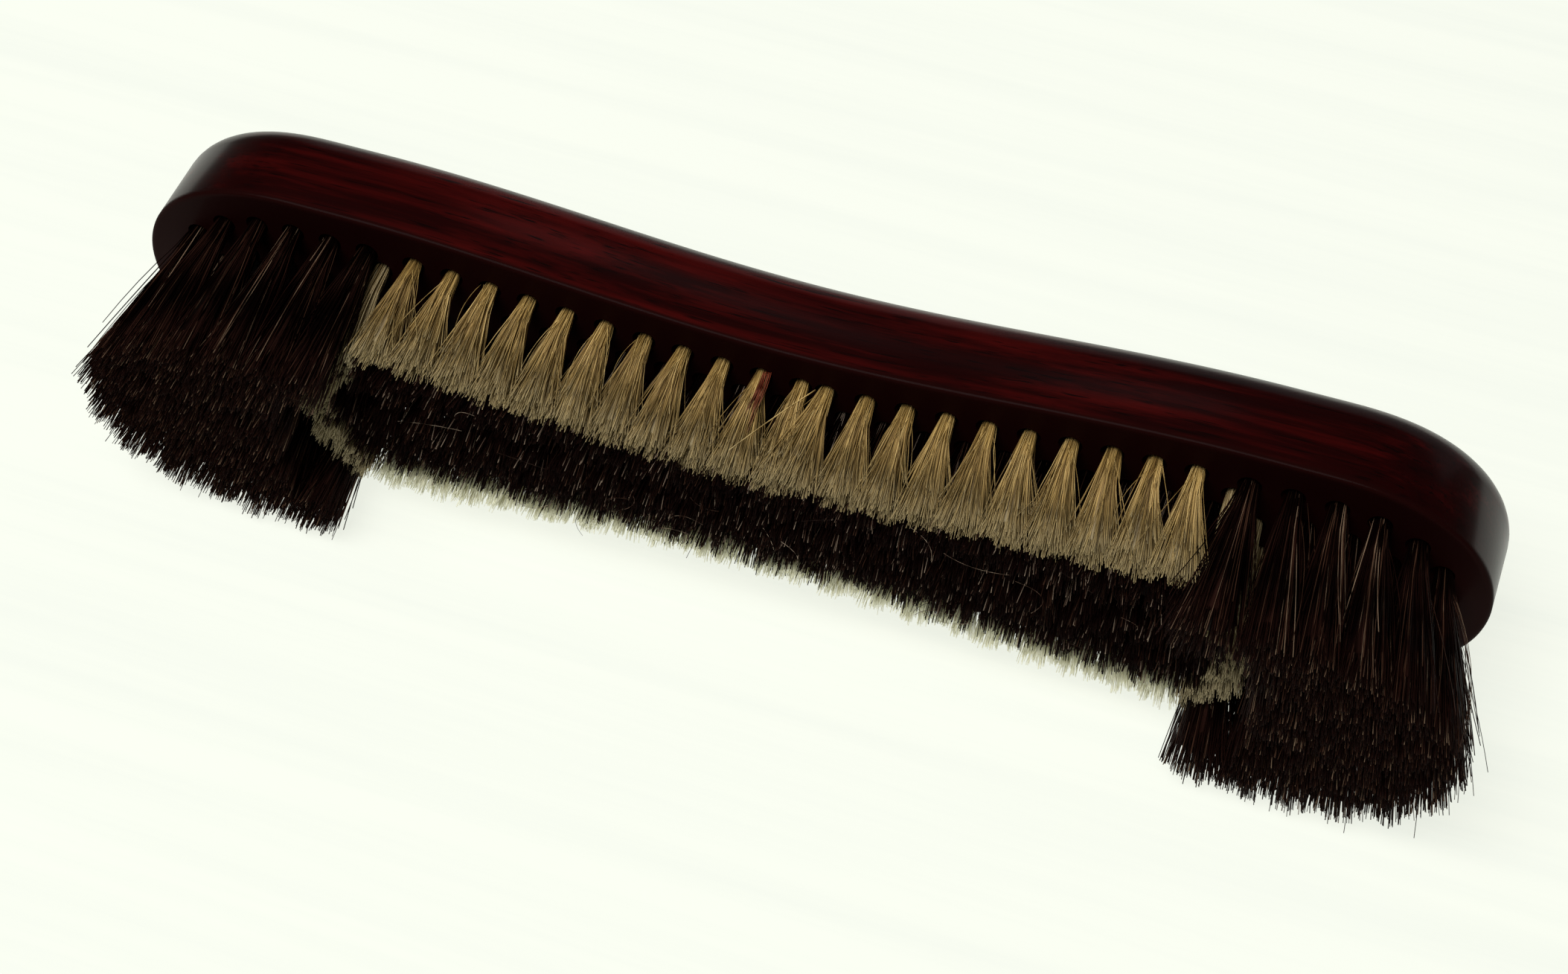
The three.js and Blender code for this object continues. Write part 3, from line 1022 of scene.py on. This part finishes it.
@dataclass
class BristleField:
    """All the hair of the brush, row by row."""

    frame: Frame
    setter: HairSetter
    edge_lean: float = 1.2 * MM
    dark_rise: float = 0.9 * MM
    tip_set: float = 2.4 * MM
    end_lean: float = 3.0 * MM
    side_share: float = 0.25
    cover: float = 2.2 * MM
    cream_depth: float = 2.5 * MM
    dark_depth: float = 4.6 * MM
    crowd: float = 1.12
    arc_half_across: float = 3.8 * MM
    end_half_across: float = 5.0 * MM
    end_crowd: float = 1.1
    corner_draw: float = 1.8 * MM
    corner_spread: float = 1.25
    cover_spread: float = 1.4
    cover_draw: float = 1.3
    hide_first: float = 1.5
    hide_second: float = 0.8
    left_spread: float = 1.1
    left_draw: float = 0.4 * MM
    far_lean: float = -0.6 * MM
    far_depth: float = 2.2 * MM
    pair_shift: float = 1.6 * MM
    pair_rise: float = 0.8 * MM
    pair_spread: float = 1.55
    dark_leans: dict[str, float] = field(
        default_factory=lambda: {"near_dark_row": 3.2, "middle_dark_row": 0.8, "far_dark_row": -0.8}
    )
    roots: list[Vector] = field(default_factory=list)
    near_tufts: list[Tuft] = field(default_factory=list)
    outer_tufts: list[Tuft] = field(default_factory=list)

    def __post_init__(self) -> None:
        """Measures the two trims of the hair."""
        self.short = self.frame.length_below_face("near_cream_tuft_01")
        self.long = self.frame.length_below_face("left_end_outer_arc")

    def _tufts(
        self, nodes: Sequence[str], shape: RowShape, length: float, lean: float, across: float
    ) -> list[Tuft]:
        """Lays out the tufts of one row.

        Args:
            nodes: The CAD nodes that hold the row's tufts.
            shape: How the row runs.
            length: From the bristle face to the tips.
            lean: How far the tips stand outwards of the roots.
            across: Half of the tips' spread across the row.

        Returns:
            The row's tufts, in order.
        """
        roots = [place for node in nodes for place in self.frame.root_places(node)]
        self.roots.extend(roots)
        inner = min(roots, key=lambda place: abs(place.x)).x
        middle = Vector((inner, self.frame.face_y, self.frame.middle_z))
        if shape is RowShape.ARC:
            side = math.copysign(1.0, inner)
            roots.sort(key=lambda place: math.atan2(place.z - middle.z, (place.x - middle.x) * side))
        else:
            roots.sort(key=lambda place: place.x)
        set_x = self.tip_set * length / self.short
        tufts = []
        for index, root in enumerate(roots):
            before, after = roots[max(index - 1, 0)], roots[min(index + 1, len(roots) - 1)]
            steps = 2 if 0 < index < len(roots) - 1 else 1
            pitch = (after - before).length / steps
            if shape is RowShape.ARC:
                along = (after - before).normalized()
                outward = Vector((-along.z, 0, along.x))
                outward *= math.copysign(1.0, outward.dot(root - middle))
                outward.z *= self.side_share
            else:
                along = Vector((1, 0, 0))
                outward = Vector((0, 0, math.copysign(1.0, root.z - self.frame.middle_z)))
            tip = root + outward * lean + Vector((set_x, -length, 0))
            tufts.append(Tuft(root, tip, along, pitch / 2 * self.crowd, across))
        return tufts

    def build(self) -> None:
        """Builds every row."""
        self._near_row()
        self._inner_rows()
        self._ring_ends()
        self._ends()

    def _near_row(self) -> None:
        """The cream tufts of the near side, each its own piece.

        Of the close pair in the middle, the second spreads over the first.
        """
        names = [f"near_cream_tuft_{number:02d}" for number in range(1, SIDE_TUFTS + 1)]
        self.near_tufts = self._tufts(names, RowShape.STRAIGHT, self.short, self.edge_lean, self.cream_depth)
        spread = self.near_tufts[SIDE_TUFTS // 2 + 1]
        spread.tip.x -= self.pair_shift
        spread.tip.z += self.pair_rise
        spread.half_along *= self.pair_spread
        for number, (node, tuft) in enumerate(zip(names, self.near_tufts), start=1):
            self.setter.piece(f"cream_hair_near_{number:02d}", [tuft], Hair.CREAM, [node])

    def _inner_rows(self) -> None:
        """The far cream row and the three dark rows between the cream ones."""
        nodes = ["far_cream_row"]
        far = self._tufts(nodes, RowShape.STRAIGHT, self.short, self.far_lean, self.far_depth)
        # The far row takes the cream hair lightened as painted light.
        self.setter.piece("cream_hair_far", far, Hair.PAINTED_LIGHT, nodes)
        trim = self.short + self.dark_rise
        for node, lean in self.dark_leans.items():
            row = self._tufts([node], RowShape.STRAIGHT, trim, lean * MM, self.dark_depth)
            self.setter.piece(node.replace("dark_row", "dark_hair"), row, Hair.DARK, [node])

    def _ring_ends(self) -> None:
        """The cream arcs that close the ring."""
        for side in ("left", "right"):
            node = f"{side}_cream_arc"
            arc = self._tufts([node], RowShape.ARC, self.short, 0.0, self.arc_half_across)
            if side == "right":
                self._hide_behind_end(arc)
            # The arcs take the cream hair in painted shade, with their tips lightened as painted light.
            self.setter.piece(f"{side}_cream_arc_hair", arc, Hair.PAINTED_SHADE_AND_LIGHT, [node])

    def _hide_behind_end(self, arc: Sequence[Tuft]) -> None:
        """Leans the arc's two nearest tufts in behind the first long dark one."""
        first, second = sorted(arc, key=lambda tuft: tuft.root.z, reverse=True)[:2]
        first.tip += Vector((self.cover * self.hide_first, 0, -self.cover / 2))
        second.tip.x -= self.cover * self.hide_second

    def _ends(self) -> None:
        """The long dark hair of both ends."""
        for side in ("left", "right"):
            for part, lean in (("outer_arc", self.end_lean), ("inner_arc", self.end_lean / 2), ("core", 0.0)):
                node = f"{side}_end_{part}"
                shape = RowShape.STRAIGHT if part == "core" else RowShape.ARC
                row = self._tufts([node], shape, self.long, lean, self.end_half_across)
                for tuft in row:
                    tuft.half_along *= self.end_crowd
                if part == "outer_arc":
                    self._cover_ring(row)
                    self.outer_tufts.extend(row)
                self.setter.piece(f"{node}_hair", row, Hair.LONG, [node])

    def _cover_ring(self, row: Sequence[Tuft]) -> None:
        """Spreads the corner tufts of the right end over the ring, and draws in those of the left."""
        far, near = sorted((row[0], row[-1]), key=lambda end: end.root.z)
        if near.root.x > 0:
            far.half_along *= self.corner_spread
            near.half_along *= self.cover_spread
            near.tip.x -= self.cover * self.cover_draw
        else:
            far.tip.x -= self.corner_draw
            near.half_along *= self.left_spread
            near.tip.x -= self.left_draw


@dataclass
class StrayHairs:
    """Single hairs that have worked loose from the trim."""

    bristles: BristleField
    setter: HairSetter
    segments: int = 10
    radius: float = 0.075 * MM
    near_each: int = 7
    near_reach: tuple[float, float] = (0.6, 1.03)
    near_scatter: float = 3.6
    field_count: int = 26
    field_x: tuple[float, float] = (-72, 78)
    field_z: tuple[float, float] = (-9, 14)
    field_length: tuple[float, float] = (5, 15)
    field_radius: float = 0.06 * MM
    stained_count: int = 26
    stained_radius: float = 0.1 * MM
    crossing_radius: float = 0.16 * MM
    end_each: int = 9
    end_flare: float = 0.45

    def _hair(
        self, mesh: HairMesh, start: Vector, end: Vector, bend: Vector, tone: float, radius: float = 0.0
    ) -> None:
        """Adds one curved hair.

        Args:
            mesh: The mesh that takes it.
            start: Its first point.
            end: Its last point.
            bend: How far its middle stands off the straight line.
            tone: From 0 to 1.
            radius: Half its thickness, or 0 for the usual.
        """
        shape = StrandShape(3, self.segments)
        steps = np.linspace(0, 1, self.segments + 1)[None, :, None]
        line = np.array(start) + (np.array(end) - np.array(start)) * steps
        line = line + np.array(bend) * 4 * steps * (1 - steps)
        half = np.full((1, self.segments + 1), radius or self.radius)
        mesh.add(shape, line, half, half, np.array([tone]))

    def _place(self, mesh: HairMesh, name: str, hair: Hair) -> None:
        """Makes the gathered hairs a piece."""
        piece = link_mesh(name, mesh.to_mesh(name), self.setter.finishes[hair])
        finish_piece(piece, [])

    def build(self) -> None:
        """Builds the loose hairs of each kind."""
        self._near()
        self._stained()
        self._field()
        self._ends()

    def _near(self) -> None:
        """Cream hairs that cross the gaps between the near tufts."""
        random, mesh = self.setter.random, HairMesh()
        for tuft in self.bristles.near_tufts:
            for _ in range(self.near_each):
                start = tuft.root + in_mm(random.normal(0, 0.6), 0, random.uniform(0, 1.2))
                end = tuft.root.lerp(tuft.tip, random.uniform(*self.near_reach))
                end += in_mm(random.normal(0, self.near_scatter), 0, random.uniform(0.5, 3.0))
                bend = in_mm(random.normal(0, 0.9), 0, random.uniform(0.0, 1.6))
                self._hair(mesh, start, end, bend, random.uniform(0.4, 1.0))
        over = self.bristles.near_tufts[SIDE_TUFTS // 2 + 1]
        start = over.root + in_mm(-1.6, -1.5, 2.0)
        end = over.tip + in_mm(-11.5, 3.5, 3.4)
        self._hair(mesh, start, end, in_mm(0.3, 0, 0.8), 1.0, self.crossing_radius)
        self._place(mesh, "loose_cream_hairs", Hair.CREAM)

    def _stained(self) -> None:
        """The few hairs beside the close pair that took up the wood's stain."""
        random, mesh = self.setter.random, HairMesh()
        tuft = self.bristles.near_tufts[SIDE_TUFTS // 2 - 1]
        for _ in range(self.stained_count):
            start = tuft.root + in_mm(random.uniform(0.3, 1.9), 0.4, random.uniform(0.4, 1.7))
            end = start.lerp(tuft.tip, random.uniform(0.25, 0.6))
            end += in_mm(random.normal(0.4, 0.5), 0, 0.9)
            self._hair(mesh, start, end, in_mm(0.3, 0, 0.3), random.uniform(0, 1), self.stained_radius)
        self._place(mesh, "stained_hairs", Hair.STAINED)

    def _field(self) -> None:
        """Curled hairs that lie over the trimmed tips of the field."""
        random, mesh = self.setter.random, HairMesh()
        frame, tips_y = self.bristles.frame, self.bristles.frame.face_y - self.bristles.short
        for _ in range(self.field_count):
            x = random.uniform(*self.field_x) * MM
            y = tips_y - random.uniform(0.0, 1.0) * MM
            start = Vector((x, y, frame.middle_z + random.uniform(*self.field_z) * MM))
            turn, length = random.uniform(0, 2 * math.pi), random.uniform(*self.field_length) * MM
            end = start + Vector((math.cos(turn), 0.06, 0.6 * math.sin(turn))) * length
            bend = Vector((-math.sin(turn), -0.15, 0.7 * math.cos(turn))) * length * random.uniform(-0.3, 0.3)
            # Their tones come from the top of the dark ramp: partly the hairs' own lighter colour, partly
            # painted highlight for glints over the dark field.
            self._hair(mesh, start, end, bend, random.uniform(0.86, 1.0), self.field_radius)
        self._place(mesh, "loose_field_hairs", Hair.DARK)

    def _ends(self) -> None:
        """Dark hairs, many of them light-toned, that stand out of both ends."""
        random, mesh = self.setter.random, HairMesh()
        for tuft in self.bristles.outer_tufts:
            outward = Vector((tuft.tip.x - tuft.root.x, 0, tuft.tip.z - tuft.root.z)) * self.end_flare
            for _ in range(self.end_each):
                start = tuft.root + in_mm(random.normal(0, 0.8), 0, random.normal(0, 0.8))
                end = tuft.tip + outward * random.uniform(0.2, 2.2)
                end += in_mm(random.normal(0, 1.6), random.uniform(-2.0, 6.0), random.normal(0, 1.6))
                bend = outward * random.uniform(0, 1.2)
                # Their light tones are partly painted highlight, as on the long end tufts.
                self._hair(mesh, start, end, bend, random.uniform(0.55, 1.0))
        self._place(mesh, "loose_end_hairs", Hair.LONG)


# ---------- anchors


class Anchors:
    """The flat wires that hold the near tufts, kept as they are and given their finish."""

    def dress(self, frame: Frame) -> None:
        """Gives every anchor the wire's finish."""
        material = FlatWire().material()
        for number in range(1, SIDE_TUFTS + 1):
            dress(frame.loaded["nodes"][f"near_anchor_{number:02d}"].data, material)
        LOG.info("anchors: %d dressed", SIDE_TUFTS)


# ---------- studio


@dataclass(frozen=True)
class Softbox:
    """A rectangular light, placed from the middle of the brush, with its power in watts."""

    name: str
    place: tuple[float, float, float]
    size: tuple[float, float]
    power: float

    def hang(self, centre: Vector) -> None:
        """Adds the light, turned to the middle of the brush."""
        data = bpy.data.lights.new(self.name, "AREA")
        data.shape = "RECTANGLE"
        data.size, data.size_y = self.size
        data.energy = self.power
        lamp = bpy.data.objects.new(self.name, data)
        lamp.location = centre + Vector(self.place)
        lamp.rotation_euler = (-Vector(self.place)).to_track_quat("-Z", "Y").to_euler()
        lamp.visible_camera = False
        bpy.context.scene.collection.objects.link(lamp)


SOFTBOXES = (
    Softbox("key", (-0.45, -0.75, 2.0), (1.9, 1.3), 62.0),
    Softbox("back", (0.3, 2.0, 0.7), (3.0, 1.3), 2.6),
    Softbox("strip", (-0.19, 0.72, 0.95), (0.26, 0.11), 0.026),
)


@dataclass
class Studio:
    """The pale board, the soft light and the camera."""

    frame: Frame
    board_size: float = 8.0
    azimuth: float = 19.82
    elevation: float = 51.19
    roll: float = -0.37
    distance: float = 0.5635
    aim_offset: tuple[float, float, float] = (2.3 * MM, -0.7 * MM, -7.2 * MM)
    lens: float = 68.34
    fill_strength: float = 0.015

    def build(self) -> None:
        """Sets everything up."""
        self._board()
        self._lights()
        self._camera()

    def _board(self) -> None:
        """The painted board that the brush lies on."""
        shape = bmesh.new()
        bmesh.ops.create_grid(shape, x_segments=1, y_segments=1, size=self.board_size / 2)
        link_mesh("board", new_mesh("board", shape), PaintedBoard().material())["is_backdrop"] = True

    def _lights(self) -> None:
        """A large softbox over the near side, a low one behind, and a faint strip over the waist."""
        for softbox in SOFTBOXES:
            softbox.hang(self.frame.centre)
        graph = ShaderGraph(bpy.data.worlds.new("surround"))
        lit = graph.node("ShaderNodeBackground", {"Color": WHITE, "Strength": self.fill_strength})
        seen = graph.node("ShaderNodeBackground", {"Color": BOARD_WHITE})
        first_ray = graph.node("ShaderNodeLightPath", output="Is Camera Ray")
        both = graph.node("ShaderNodeMixShader", {0: first_ray, 1: lit, 2: seen})
        bpy.context.scene.world = graph.end("ShaderNodeOutputWorld", both)
        bpy.context.scene.view_settings.view_transform = "Standard"

    def _camera(self) -> None:
        """The camera, looking down at the near side and the tips."""
        azimuth, elevation = math.radians(self.azimuth), math.radians(self.elevation)
        level = math.cos(elevation)
        back = Vector((math.sin(azimuth) * level, -math.cos(azimuth) * level, math.sin(elevation)))
        data = bpy.data.cameras.new("camera")
        data.lens = self.lens
        data.sensor_width = 36.0
        data.clip_start, data.clip_end = 0.01, 50.0
        camera = bpy.data.objects.new("camera", data)
        camera.location = self.frame.centre + Vector(self.aim_offset) + back * self.distance
        look = (-back).to_track_quat("-Z", "Y").to_matrix()
        camera.rotation_euler = (look @ Matrix.Rotation(math.radians(self.roll), 3, "Z")).to_euler()
        bpy.context.scene.collection.objects.link(camera)
        bpy.context.scene.camera = camera


# ---------- the whole brush


def main() -> None:
    """Builds the brush and its studio."""
    frame = Frame()
    setter = HairSetter()
    bristles = BristleField(frame, setter)
    bristles.build()
    StrayHairs(bristles, setter).build()
    Stock(frame).build(bristles.roots)
    Anchors().dress(frame)
    Studio(frame).build()


if __name__ == "__main__":
    main()
